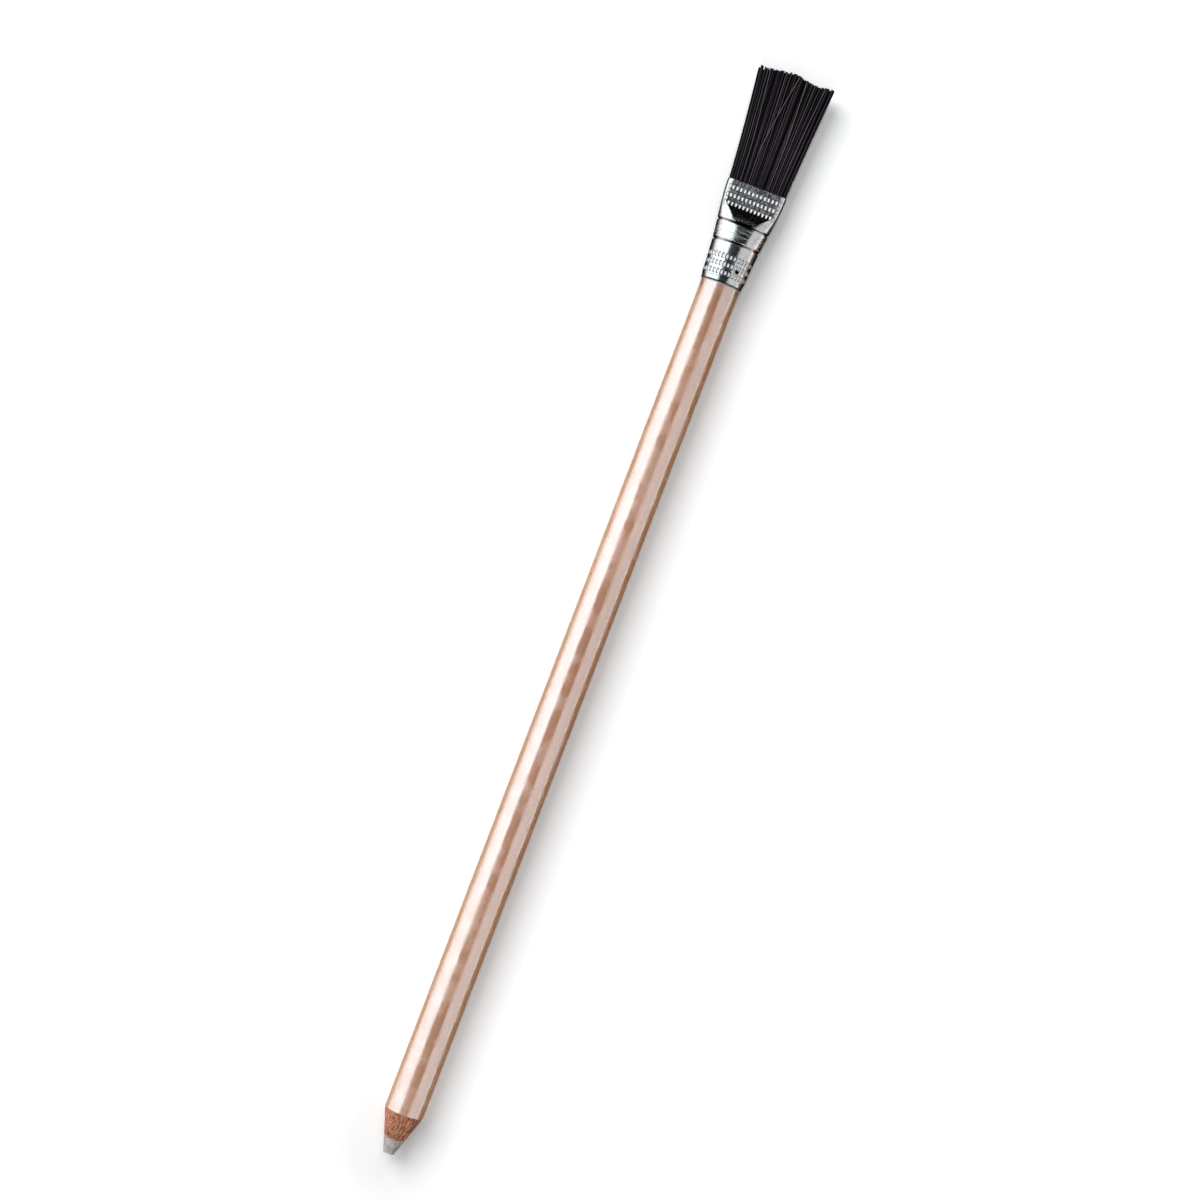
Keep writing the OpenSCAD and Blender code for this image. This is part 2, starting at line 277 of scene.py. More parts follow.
worn_r = TIP_R + TIP_FULLNESS
wood_x = point_x(CORE_R)
round_turns = [TIP_ROUND_ARC * k / TIP_ROUND_STEPS for k in range(TIP_ROUND_STEPS + 1)]
bm = turned(
    [(TIP_X, ring * worn_r) for ring in TIP_FACE_RINGS]
    + [
        (TIP_X + TIP_ROUND * (1 - math.cos(a)), worn_r + TIP_ROUND * (math.sin(a) - 1))
        for a in round_turns
    ]
    + along((TIP_X + CORE_CONE_FROM, worn_r), (wood_x, CORE_R), CORE_CONE_STEPS)
    + [(core_high[0], CORE_R), (core_high[0], 0)]
)
for vert in bm.verts:
    out = out_from_axis(vert.co).normalized()
    if vert.co.x < wood_x - WEAR_ENDS:
        rough = noise.noise(vert.co / WEAR_COARSE) + 0.6 * noise.noise(vert.co / WEAR_FINE)
        fade = min(1.0, (wood_x - vert.co.x) / WEAR_FADE)
        vert.co -= out * WEAR_DEPTH * fade * (0.4 + 0.6 * rough)
        if vert.co.x < TIP_X + TIP_ROUND:
            vert.co.x += TIP_WEAR_DEPTH * (1 + noise.noise(vert.co / TIP_WEAR_GRAIN))

rubber = Finish("eraser_rubber", Roughness=0.85, IOR=1.45)
blotch = rubber.noise(1300, detail=4)
grit = rubber.noise(7000, detail=2)
specks = rubber.between(rubber.noise(4600, detail=2, shift=(3, 1, 2)), 0.53, 0.6)
pale = rubber.between(0.5 * blotch + 0.5 * grit, 0.38, 0.62)
colour = rubber.mix(pale, ERASER_DARK, ERASER_PALE)
# Painted shade: the rubber is painted darker and more speckled towards -Y, the side away from the
# key lamp.
shaded_side = rubber.between(rubber.along("Y"), LIT_SIDE_Y, SHADED_SIDE_Y)
colour = rubber.mix(0.25 * shaded_side, colour, ERASER_DARK)
colour = rubber.mix(specks * (0.3 + 0.6 * shaded_side), colour, ERASER_SPECK)
fray = rubber.noise(1900, stretch=(3, 1, 1), shift=(7, 0, 0))
upper_side = rubber.between(rubber.across(), CORE_R, 0.2 * CORE_R)
drawn_down = SMEAR_LENGTH * upper_side * (0.5 + fray)
smear = rubber.between(rubber.along("X") + drawn_down, wood_x + SMEAR_FROM, wood_x + SMEAR_TO)
smeared = rubber.mix(rubber.between(grit, 0.4, 0.6), SMEARED_DARK, SMEARED_WOOD)
rubber.paint(
    Base_Color=rubber.mix(smear, colour, smeared),
    Normal=rubber.bump(grit + 0.6 * blotch, GRIT_RELIEF),
)
finished("eraser_core", bm, rubber.material)

# Cedar casing
# Two grooved slats of reddish cedar, glued together round the core with the joint at mid height.
# A sharpener has cut their cone of streaky fibres, and the far end is turned down for the ferrule.
slat_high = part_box("upper_slat")[1]
SLAT_R = slat_high[2] - AXIS.z
GROOVE_R = CORE_R + 0.02 * MM
TENON_R = SLAT_R - 0.03 * MM
SHOULDER_X = barrel_high[0]
SLAT_STEPS = 72
SLAT_CONE_STEPS = 36
FIBRE_DEPTH = 0.04 * MM
TORN_FIBRES = ((1.6 * MM, 26, 1.0), (0.8 * MM, 60, 0.6))
PLAIN_EDGE = 0.05 * MM
ON_CONE = 0.01 * MM
CEDAR_RELIEF = 0.3 * MM
BAND_WAVER = 2 * MM
LIT_SIDE_FROM_Y = 0.5 * MM
LIT_SIDE_TO_Y = 2.2 * MM
TAN_STREAK_Y = 0.3 * MM
TAN_STREAK_W = 0.9 * MM
CEDAR_PALE = (0.95, 0.38, 0.22, 1)
CEDAR_MID = (0.56, 0.19, 0.1, 1)
CEDAR_DARK = (0.12, 0.035, 0.018, 1)
CEDAR_TAN = (0.52, 0.27, 0.145, 1)
CEDAR_PALEST = (1.0, 0.47, 0.3, 1)

cedar = Finish("cedar_wood", IOR=1.4)
bands = cedar.noise(900, stretch=(9, 1, 1), detail=3)
fibres = cedar.noise(3000, stretch=(14, 1, 1), detail=4, roughness=0.65)
pores = cedar.noise(5600, stretch=(7, 1, 1), detail=2, shift=(1, 4, 2))
pores = cedar.between(pores, 0.56, 0.66)
crumbs = cedar.noise(6500, detail=2, shift=(4, 2, 8))
waver = BAND_WAVER * (bands - 0.5)
# Painted light: the wood is painted paler towards +Y, the side that faces the key lamp.
lit_side = cedar.between(cedar.along("Y") + waver, LIT_SIDE_FROM_Y, LIT_SIDE_TO_Y)
colour = cedar.ramp(
    0.35 * bands + fibres + 0.4 * crumbs + 0.05 * lit_side - 0.375,
    (0.36, CEDAR_DARK),
    (0.47, CEDAR_MID),
    (0.57, CEDAR_PALE),
    (0.68, CEDAR_PALEST),
)
tan = cedar.between(cedar.across(TAN_STREAK_Y) + waver, TAN_STREAK_W, 0.4 * TAN_STREAK_W)
colour = cedar.mix(0.45 * tan, colour, CEDAR_TAN)
cedar.paint(
    Base_Color=cedar.mix(0.55 * pores, colour, CEDAR_DARK),
    Roughness=0.62 + 0.2 * fibres,
    Normal=cedar.bump(fibres + crumbs - 0.5 * pores, CEDAR_RELIEF),
)

slat_profile = along((point_x(GROOVE_R), GROOVE_R), (point_x(SLAT_R), SLAT_R), SLAT_CONE_STEPS)
slat_profile += [(SHOULDER_X, SLAT_R), (SHOULDER_X, TENON_R)]
slat_profile += [(slat_high[0], TENON_R), (slat_high[0], GROOVE_R)]
for name, side in (("upper_slat", 1), ("lower_slat", -1)):
    bm = bmesh.new()
    end = bm.faces.new([bm.verts.new((x, side * r, AXIS.z)) for x, r in slat_profile])
    bmesh.ops.spin(
        bm,
        geom=[end] + list(end.edges) + list(end.verts),
        cent=AXIS,
        axis=(1, 0, 0),
        angle=math.pi,
        steps=SLAT_STEPS,
        use_merge=False,
    )
    bmesh.ops.recalc_face_normals(bm, faces=bm.faces)
    for vert in bm.verts:
        spoke = out_from_axis(vert.co)
        r = spoke.length
        out = spoke.normalized()
        on_cone = abs(vert.co.x - point_x(r)) < ON_CONE
        if on_cone and GROOVE_R + PLAIN_EDGE < r < SLAT_R - PLAIN_EDGE:
            fibre = sum(
                weight * noise.noise(Vector((vert.co.x / length, count * out.y, count * out.z)))
                for length, count, weight in TORN_FIBRES
            )
            vert.co -= out * FIBRE_DEPTH * (0.5 + 0.5 * fibre)
    finished(name, bm, cedar.material)

# Lacquer coat
# A film of copper lacquer with a silvery pearl in it, dipped on the barrel in several coats.
# It broke off in a small step at the sharpener's cut, and its other edge butts on the ferrule.
FILM_R = BARREL_R - 0.12 * MM
FILM_FROM = point_x(BARREL_R)
FILM_STEPS = 60
EDGE_EASE = 0.02 * MM
CUT_EDGE = 0.6 * MM
CUT_EDGE_STEPS = 4
PLAIN_FROM = 3 * MM
CHIP_DEPTH = 0.14 * MM
CHIPPED = 0.3 * MM
CHIPS = ((5, 14, 1.0), (9, 45, 0.5))
BUTT_GAP = 0.1 * MM
BUTT_EASE = 0.3
JOINT_LINE_FROM = -0.42 * MM
JOINT_LINE_TO = -0.18 * MM
PALE_FROM_X = -20 * MM
DEEP_SHADE_LENGTH = 9 * MM
LACQUER_RELIEF = 0.075 * MM
COPPER = (0.89, 0.44, 0.24, 1)
COPPER_ROSE = (0.92, 0.395, 0.285, 1)
COPPER_GOLD = (0.88, 0.47, 0.19, 1)
COPPER_COOL = (0.74, 0.42, 0.27, 1)
COPPER_DEEP = (0.74, 0.32, 0.155, 1)
COPPER_PALE = (0.95, 0.53, 0.32, 1)
COPPER_SHADED = (0.5, 0.19, 0.075, 1)
JOINT_DIRT_AND_SHADE = (0.05, 0.03, 0.02, 1)

eased_edge = BUTT_EASE * BUTT_GAP
bm = turned(
    [(FILM_FROM, BARREL_R - EDGE_EASE)]
    + along((FILM_FROM + EDGE_EASE, BARREL_R), (FILM_FROM + CUT_EDGE, BARREL_R), CUT_EDGE_STEPS)
    + along((FILM_FROM + PLAIN_FROM, BARREL_R), (SHOULDER_X - BUTT_GAP, BARREL_R), FILM_STEPS)
    + [(SHOULDER_X - eased_edge, BARREL_R - eased_edge), (SHOULDER_X, BARREL_R - BUTT_GAP)]
    + [(SHOULDER_X, FILM_R), (FILM_FROM, FILM_R)],
    closed=True,
)
for vert in bm.verts:
    out = out_from_axis(vert.co).normalized()
    if vert.co.x < FILM_FROM + CHIPPED:
        chip = sum(
            weight * noise.noise(Vector((place, count * out.y, count * out.z)))
            for place, count, weight in CHIPS
        )
        vert.co.x += CHIP_DEPTH * max(0.0, chip)

pearl = Finish("pearl_lacquer", IOR=5.6, Coat_Weight=0.2, Coat_Roughness=0.08)
flakes = pearl.noise(26000, detail=1)
drift = pearl.noise(160, stretch=(6, 1, 1), detail=2)
opal = pearl.noise(700, stretch=(1.4, 1, 1), detail=1, shift=(2, 7, 3))
patch = pearl.noise(420, stretch=(1.6, 1, 1), detail=1, shift=(5, 1, 9))
colour = pearl.ramp(
    opal,
    (0.3, COPPER_COOL),
    (0.42, COPPER),
    (0.5, COPPER),
    (0.57, COPPER_ROSE),
    (0.62, COPPER),
    (0.7, COPPER_GOLD),
)
length_wise = pearl.along("X")
deep = pearl.between(0.6 * drift + 0.4 * flakes, 0.58, 0.38)
pale = pearl.between(length_wise, PALE_FROM_X, FILM_FROM)
# Painted shade: the lacquer is painted darker from the middle of the barrel towards the ferrule,
# and darker and browner still over its last few millimetres.
ferrule_end_shade = pearl.between(length_wise, 0, SHOULDER_X)
ferrule_end_deep_shade = pearl.between(length_wise, SHOULDER_X - DEEP_SHADE_LENGTH, SHOULDER_X)
# A thin dark line on the lacquer where it butts on the ferrule, partly glue dirt and partly painted
# shade at the joint.
joint_dirt_and_shade = pearl.between(length_wise, SHOULDER_X + JOINT_LINE_FROM, SHOULDER_X + JOINT_LINE_TO)
colour = pearl.mix(deep, colour, COPPER_DEEP)
colour = pearl.mix(0.3 * pale, colour, COPPER_PALE)
colour = pearl.mix(0.8 * ferrule_end_shade, colour, COPPER_DEEP)
colour = pearl.mix(0.6 * ferrule_end_deep_shade, colour, COPPER_SHADED)
pearl.paint(
    Base_Color=pearl.mix(joint_dirt_and_shade, colour, JOINT_DIRT_AND_SHADE),
    Roughness=0.15 + 0.16 * pearl.between(patch, 0.35, 0.65) + 0.06 * flakes + 0.4 * joint_dirt_and_shade,
    Normal=pearl.bump(patch + 0.012 * flakes, LACQUER_RELIEF),
)
finished("lacquer_coat", bm, pearl.material, crease=15)

# Ferrule
# One tube of bright plated sheet, with a collar crimped on the barrel's bared end, two rolled
# grooves, and a mouth that dies have pressed flat on the brush. Dimples and a prick mark lock it.
ferrule_low, ferrule_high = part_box("ferrule")
EDGE_X = ferrule_low[0]
FERRULE_LENGTH = ferrule_high[0] - EDGE_X
SHEET = 0.4 * MM
MOUTH_SHEET = 0.2 * MM
EDGE_R = TENON_R + 0.02 * MM + SHEET
EDGE_BAND = 0.6 * MM
EDGE_ROLL_LENGTH = 0.6 * MM
EDGE_ROLL = 0.15 * MM
EDGE_TURN_IN = 0.1 * MM
COLLAR_LENGTH = 7.02 * MM
COLLAR_TOP_R = (ferrule_high[2] - ferrule_low[2]) / 2
GROOVE_W = 0.66 * MM
GROOVE_DEPTH = 0.26 * MM
GROOVE_1 = 7.35 * MM
GROOVE_2 = 10.95 * MM
BEAD_SQUEEZE = 0.7 * MM
FLAT_FROM = 14.1 * MM
SLOPE_DEPTH = 3.45 * MM
SLOPE_RUN = 1.2 * MM
FLAT_RUN = 4.5 * MM
FOLD_RAMP = 0.2 * MM
WIDENING = 0.09
MOUTH_W = ferrule_high[1] - ferrule_low[1]
MOUTH_DEPTH = 1.4 * MM
MOUTH_RUN = MOUTH_W / 2 - 1.1 * MM
FLAT_CORNER = 1.2 * MM
MOUTH_CORNER = 0.3 * MM
CORNER_LENGTH = 1.5 * MM
BEND = 0.05 * MM
LIP = 0.1 * MM
DIMPLES = 34
DIMPLE_W = 0.36 * MM
DIMPLE_H = 0.8 * MM
DIMPLE_DEPTH = 0.16 * MM
DIMPLE_REACH = 1.3
DIMPLE_EDGE = 0.9
ROW_PITCH = 1.46 * MM
DIMPLED_HALF_W = 4.9 * MM
COLLAR_ROW = 1.69 * MM
MOUTH_ROW = 14.05 * MM
PRICK_AT = 2.62 * MM
PRICK_ACROSS = -1.91 * MM
PRICK_R = 0.36 * MM
PRICK_DEPTH = 0.3 * MM
PRICK_REACH = 1.25
PRICK_EDGE = 0.5
TOP_COLUMNS = 70
SIDE_COLUMNS = 32
ARC_POINTS = 60
LIP_RINGS = 4
INNER_RINGS = 20
INNER_BEND_RINGS = 4
# Heights up to which the rings stand a step apart, each with that step, both in millimetres.
RING_STEPS = (
    (1.4, 0.14),
    (5.2, 0.08),
    (6.9, 0.2),
    (7.8, 0.06),
    (10.5, 0.18),
    (11.4, 0.06),
    (13.7, 0.13),
    (14.3, 0.05),
    ((FERRULE_LENGTH - LIP) / MM, 0.08),
)


def share(z, start, end):
    """How far z has come from start to end, from 0 to 1."""
    return min(1.0, max(0.0, (z - start) / (end - start)))


def collar_r(z):
    """Radius of the round collar at the height z above the ferrule's edge."""
    turned_in = EDGE_TURN_IN * (1 - share(z, 0, EDGE_TURN_IN)) ** 2
    roll = EDGE_ROLL * share(z, EDGE_BAND, EDGE_BAND + EDGE_ROLL_LENGTH)
    t = share(z, EDGE_BAND + EDGE_ROLL_LENGTH, COLLAR_LENGTH)
    return EDGE_R - turned_in + roll + (COLLAR_TOP_R - EDGE_R - EDGE_ROLL) * (t + t * t) / 2


def half_width(z):
    """Half the width of the tube, which grows from the collar to the mouth."""
    if z < COLLAR_LENGTH:
        return collar_r(z)
    length = FERRULE_LENGTH - COLLAR_LENGTH
    t = share(z, COLLAR_LENGTH, FERRULE_LENGTH)
    rise = (MOUTH_W / 2 - COLLAR_TOP_R) * t * t * (3 - 2 * t)
    return COLLAR_TOP_R + rise + WIDENING * length * t * (1 - t) ** 2


def half_depth(z):
    """Half the depth of the tube, which the dies squeeze from the collar on."""
    if z < GROOVE_2:
        return collar_r(z) - BEAD_SQUEEZE * share(z, COLLAR_LENGTH, GROOVE_2)
    return SLOPE_DEPTH + (MOUTH_DEPTH - SLOPE_DEPTH) * share(z, GROOVE_2, FLAT_FROM)


def half_run(z):
    """Half the width of the flat that the dies leave on the upper and lower side."""
    if z < GROOVE_2:
        return SLOPE_RUN * share(z, GROOVE_2 - FOLD_RAMP, GROOVE_2)
    if z < FLAT_FROM:
        return SLOPE_RUN + (FLAT_RUN - SLOPE_RUN) * share(z, GROOVE_2, FLAT_FROM)
    return FLAT_RUN + (MOUTH_RUN - FLAT_RUN) * share(z, FLAT_FROM, FERRULE_LENGTH)


def corner(z):
    """How far the middle of the round side lies inside the flat's edge: the more, the sharper."""
    if z < FLAT_FROM:
        sharpness = SLOPE_RUN + (FLAT_CORNER - SLOPE_RUN) * share(z, GROOVE_2, FLAT_FROM)
        return min(half_run(z), sharpness)
    eases = share(z, FLAT_FROM, FLAT_FROM + CORNER_LENGTH)
    return FLAT_CORNER + (MOUTH_CORNER - FLAT_CORNER) * eases


def eased(law, z):
    """A law of the height z with its sharp turns bent to a small radius, as sheet metal bends."""
    return sum(law(z + BEND * k) for k in (-2, -1, 0, 1, 2)) / 5


def rolled(z):
    """Depth of the two rolled grooves at the height z."""
    groove = min(abs(z - GROOVE_1), abs(z - GROOVE_2)) / (GROOVE_W / 2)
    return GROOVE_DEPTH * (1 + math.cos(math.pi * groove)) / 2 if groove < 1 else 0.0


def outline(z, inwards):
    """Points round the tube at the height z, across and up, each one's way along the outline as a
    share, and its length. They start at the middle of the upper side, and the same columns of them
    run along the folds."""
    width = eased(half_width, z) - inwards
    depth = eased(half_depth, z) - inwards
    run = eased(half_run, z)
    middle = run - eased(corner, z)
    rx = width - middle
    lean = math.acos((run - middle) / rx)
    turn = np.linspace(lean, 0, ARC_POINTS)
    x = np.concatenate([[0], middle + rx * np.cos(turn)])
    y = np.concatenate([[depth], depth / math.sin(lean) * np.sin(turn)])
    way = np.concatenate([[0], np.cumsum(np.hypot(np.diff(x), np.diff(y)))])
    quarter = way[-1]
    even = quarter * TOP_COLUMNS / (TOP_COLUMNS + SIDE_COLUMNS)
    fold = even + (run - even) * share(z, GROOVE_1, GROOVE_2)
    top_spots = np.linspace(0, fold, TOP_COLUMNS + 1)
    side_spots = np.linspace(fold, quarter, SIDE_COLUMNS + 1)[1:]
    spots = np.concatenate([top_spots, side_spots])
    x = np.interp(spots, way, x)
    y = np.interp(spots, way, y)
    back = slice(None, 0, -1)
    across = np.concatenate([x[:-1], x[back], -x[:-1], -x[back]])
    up = np.concatenate([y[:-1], -y[back], -y[:-1], y[back]])
    there, returning = spots[:-1], 2 * quarter - spots[back]
    round_way = np.concatenate([there, returning, 2 * quarter + there, 2 * quarter + returning])
    return across, up, round_way / (4 * quarter), 4 * quarter


def dip(distance):
    """1 inside a dimple and 0 outside it, with a soft edge, for a distance in half sizes."""
    t = np.clip((DIMPLE_REACH - np.abs(distance)) / DIMPLE_EDGE, 0, 1)
    return t * t * (3 - 2 * t)


def dented_ring(z):
    """The outside of the ferrule at the height z with its grooves and punched marks, and a number
    for the marks: up to 1 in a dimple, down to -1 in the prick mark."""
    across, up, way, length = outline(z, rolled(z))
    first, offset = (COLLAR_ROW, 0.0) if z < GROOVE_2 else (MOUTH_ROW, 0.5)
    row = min(2, max(0, round((z - first) / ROW_PITCH)))
    spot = way * DIMPLES - offset
    beside = (spot - np.round(spot)) * length / DIMPLES
    mark = dip(beside / (DIMPLE_W / 2)) * dip((z - first - row * ROW_PITCH) / (DIMPLE_H / 2))
    mark *= np.abs(across) < DIMPLED_HALF_W
    prick = np.hypot(across - PRICK_ACROSS, z - PRICK_AT) / PRICK_R
    prick[up < 0] = np.inf
    dent = DIMPLE_DEPTH * mark + PRICK_DEPTH * np.clip(1 - prick, 0, 1)
    pricked = np.clip((PRICK_REACH - prick) / PRICK_EDGE, 0, 1)
    mark = mark * (1 - pricked) - pricked
    tangent_x = np.roll(across, -1) - np.roll(across, 1)
    tangent_y = np.roll(up, -1) - np.roll(up, 1)
    size = np.hypot(tangent_x, tangent_y)
    return across + dent * tangent_y / size, up - dent * tangent_x / size, mark


def set_ring(ring, z, across, up, mark=0.0):
    """Put a ring of points on an outline at the height z, and give each of them its mark."""
    for vert, y, h, m in zip(ring, across, up, np.broadcast_to(mark, across.shape)):
        vert.co = (EDGE_X + z, y, AXIS.z + h)
        vert[mark_layer] = m


def next_ring(bm, edges, z, across, up, mark=0.0):
    """Extrude a ring of edges and set its new points to an outline at the height z."""
    made = bmesh.ops.extrude_edge_only(bm, edges=edges)["geom"]
    ring = [v for v in made if isinstance(v, bmesh.types.BMVert)]
    set_ring(ring, z, across, up, mark)
    new = set(ring)
    made_edges = [e for e in made if isinstance(e, bmesh.types.BMEdge)]
    return [e for e in made_edges if e.verts[0] in new and e.verts[1] in new]


heights = []
for end, step in RING_STEPS:
    start = heights[-1] if heights else 0.0
    count = round((end * MM - start) / (step * MM))
    heights += [start + (end * MM - start) * k / count for k in range(1, count + 1)]
inner_heights = [(FERRULE_LENGTH - LIP) * k / INNER_RINGS for k in range(INNER_RINGS)]
inner_heights += [
    FLAT_FROM + 2 * BEND * k for k in range(-INNER_BEND_RINGS, INNER_BEND_RINGS + 1)
]

bm = bmesh.new()
mark_layer = bm.verts.layers.float.new("mark")
columns = 4 * (TOP_COLUMNS + SIDE_COLUMNS)
ring = bmesh.ops.create_circle(bm, segments=columns, radius=EDGE_R)["verts"]
set_ring(ring, 0, *dented_ring(0))
first_edges = list(bm.edges)
edges = first_edges
for z in heights:
    edges = next_ring(bm, edges, z, *dented_ring(z))
for k in range(1, LIP_RINGS + 1):
    turn = math.pi * k / LIP_RINGS
    across, up, _, _ = outline(FERRULE_LENGTH, MOUTH_SHEET * (1 - math.cos(turn)) / 2)
    edges = next_ring(bm, edges, FERRULE_LENGTH - LIP + LIP * math.sin(turn), across, up)
for z in sorted(inner_heights, reverse=True):
    wall = SHEET + (MOUTH_SHEET - SHEET) * share(z, GROOVE_2, FLAT_FROM)
    across, up, _, _ = outline(z, wall + rolled(z))
    edges = next_ring(bm, edges, z, across, up)
bmesh.ops.bridge_loops(bm, edges=edges + first_edges)
bmesh.ops.recalc_face_normals(bm, faces=bm.faces)

PLATE = (0.85, 0.785, 0.755, 1)
PLATE_GLINT = (0.98, 0.97, 0.98, 1)
PLATE_DULL = (0.56, 0.515, 0.51, 1)
PLATE_DARK = (0.136, 0.127, 0.133, 1)
PLATE_GRIME_AND_SHADE = (0.001, 0.001, 0.001, 1)
PLATE_RELIEF = 0.02 * MM
CENTRE_HALF_W = 0.8 * MM
CENTRE_FADE = 3.2 * MM
PRESSED_HALF_W = 4.5 * MM
PRESSED_FADE = 5.0 * MM
PRESSED_FROM = FLAT_FROM + 0.05 * MM
PRESSED_TO = FLAT_FROM + 0.3 * MM
MOUTH_MARKS_FROM = FLAT_FROM - 0.9 * MM
MOUTH_MARKS_TO = FLAT_FROM - 0.7 * MM
SCUFF_FROM = GROOVE_2 + 0.4 * MM
SCUFF_FADE = GROOVE_2 + 0.5 * MM
SCUFF_TO = GROOVE_2 + 1.6 * MM
BEAD_EDGE = 0.6 * MM
EDGE_LINE_FULL = 0.1 * MM
EDGE_LINE_FADE = 0.25 * MM
GROOVE_LINE_HALF_W = 0.1 * MM
GROOVE_GRIME_AND_SHADE = ((GROOVE_1, 0.04 * MM, 0.35), (GROOVE_2, 0.3 * MM, 0.8))

plate = Finish("plated_sheet")
cloud = plate.noise(1100, detail=4)
scratch = plate.noise(4200, stretch=(9, 1, 1), detail=3, roughness=0.6)
turning = plate.noise(5200, stretch=(1, 12, 12), detail=2, shift=(8, 3, 6))
mottle = plate.noise(5200, detail=3, shift=(2, 5, 1))
grain = plate.noise(3400, stretch=(1.8, 1, 1), detail=2, shift=(6, 2, 4))
height = plate.along("X") - EDGE_X
centre = plate.between(plate.across(), CENTRE_FADE, CENTRE_HALF_W)
pressed = plate.between(height, PRESSED_FROM, PRESSED_TO)
pressed = pressed * plate.between(plate.across(), PRESSED_FADE, PRESSED_HALF_W)
by_mouth = plate.between(height, MOUTH_MARKS_FROM, MOUTH_MARKS_TO)
scuffed = plate.between(height, GROOVE_2, SCUFF_FROM) * plate.between(height, SCUFF_TO, SCUFF_FADE)
scuffed = scuffed * centre * plate.between(mottle, 0.35, 0.75)
on_bead = plate.between(height, GROOVE_1, GROOVE_1 + BEAD_EDGE)
on_bead = on_bead * plate.between(height, GROOVE_2, GROOVE_2 - BEAD_EDGE)
streaks = on_bead * plate.between(turning, 0.52, 0.66)
# Dark lines along the ferrule's lower edge and in both grooves, thicker along the middle of the
# upper side: partly grime in the creases and partly painted shade.
grime_and_shade = 0.8 * plate.between(height, EDGE_LINE_FADE, EDGE_LINE_FULL)
for groove, thicker, at_sides in GROOVE_GRIME_AND_SHADE:
    half_w = GROOVE_LINE_HALF_W + thicker * centre
    filled = at_sides + (1 - at_sides) * centre
    grime_and_shade = grime_and_shade + filled * plate.between(abs(height - groove), 1.5 * half_w, 0.6 * half_w)
mark = plate.painted("mark")
# The dimples' rims are painted dark, partly tarnish and partly painted shade, and the prick hole is
# painted black as painted shade.
rim = plate.between(mark, 0.01, 0.06) * plate.between(mark, 0.5, 0.3)
# Painted highlight: the dimples' middles are painted near-white and less metallic, in place of the
# glints that they catch.
dimple_glint = plate.between(mark, 0.35, 0.5)
pricked = plate.between(mark, -0.3, -0.6)
dull = plate.between(0.4 * cloud + 0.6 * mottle, 0.45, 0.68)
worn = pressed * plate.between(grain, 0.58, 0.44)
colour = plate.mix(dull, PLATE, PLATE_DULL)
colour = plate.mix(0.85 * worn, colour, PLATE_DARK)
colour = plate.mix(dimple_glint, colour, PLATE_GLINT)
roughness = 0.11 + 0.12 * cloud + pressed * (0.14 + 0.2 * scratch)
plate.paint(
    Base_Color=plate.mix((grime_and_shade + pricked).at_least(0.9 * rim), colour, PLATE_GRIME_AND_SHADE),
    Roughness=roughness + 0.4 * scuffed + 0.35 * dimple_glint + 0.25 * streaks,
    Metallic=1 - dimple_glint * (0.25 + 0.4 * by_mouth),
    Normal=plate.bump(pressed * scratch + 0.5 * mottle + 0.5 * turning, PLATE_RELIEF),
)
finished("ferrule", bm, plate.material, crease=60)

# Root cement
# The resin that was poured on the roots of the bristles inside the ferrule.
# It set there to a cloudy brown block, and the brush hides it.
RESIN_PALE = (0.14, 0.085, 0.045, 1)
RESIN_DARK = (0.07, 0.04, 0.02, 1)
RESIN_RELIEF = 0.05 * MM
resin = Finish("cement", Roughness=0.4)
cloudy = resin.noise(1500, detail=3)
resin.paint(
    Base_Color=resin.mix(cloudy, RESIN_DARK, RESIN_PALE),
    Normal=resin.bump(cloudy, RESIN_RELIEF),
)
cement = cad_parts["root_cement"]
cement.data.materials.clear()
cement.data.materials.append(resin.material)

# Bristles
# A flat tuft of stiff dark bristles, cemented in the mouth in small locks and cut off straight.
# It fans out and has set a little to one side with use, and a few locks lie bent across the rest.
STRAND_R = 0.07 * MM
STRAND_LEAST = 0.8
STRAND_MOST = 1.1
STRAND_TAPER = 0.8
STRAND_SIDES = 5
STRAND_CUTS = 6
LOCKS_ACROSS = 33
LAST_LOCK = 0.985
LOCK_STAGGER = 0.25
LOCK_JITTER = 0.01
LOCK_LAYERS = 6
LAYERS_SPREAD = 1.1
LAYER_JITTER = 0.05
LOCK_STRANDS = 8
LOCK_R = 0.11 * MM
LOCK_LEAST = 0.7
LOCK_LEAST_BRIGHT = 0.9
LOCK_MOST = 1.15
LOCK_TWIST = 0.2
TURN_JITTER = 0.3
LOCK_SEED = 11
LOCK_BEND = 0.12 * MM
BEND_FROM = (0.2, 0.4)
BEND_CURVE = 1.3
GOLDEN_SHARE = 0.618
SHEEN = 0.52
SHEEN_LEAST = 0.03
SHEEN_CURVE = 1.3
DARK_TONE = 0.015
SHADED_TO = 0.05
LIT_FROM = 0.4
ROOT_X = ferrule_high[0] - 1.4 * MM
END_X = cad_box[1][0]
END_CLEAR = 0.02 * MM
ROOT_HALF_W = MOUTH_W / 2 - MOUTH_SHEET - 0.15 * MM
ROOT_HALF_T = MOUTH_DEPTH - MOUTH_SHEET - 0.42 * MM
ROOT_LEAN = 0.02 * MM
END_HALF_W = 7.13 * MM
END_HALF_T = 1.25 * MM
END_LEAN = 0.44 * MM
END_JITTER = 0.1 * MM
CUT_JITTER = 0.06 * MM
REACH_JITTER = 0.06 * MM
FAN_BOW = 0.26
LEFT_SHORT = 0.75 * MM
LEFT_CURVE = 1.15
RIGHT_SHORT = 0.7 * MM
RIGHT_SHORT_TO = 0.5
RIGHT_CURVE = 0.6
RIGHT_CORNER = 0.3 * MM
RIGHT_CORNER_FROM = 0.6
RIGHT_CORNER_TO = 0.87
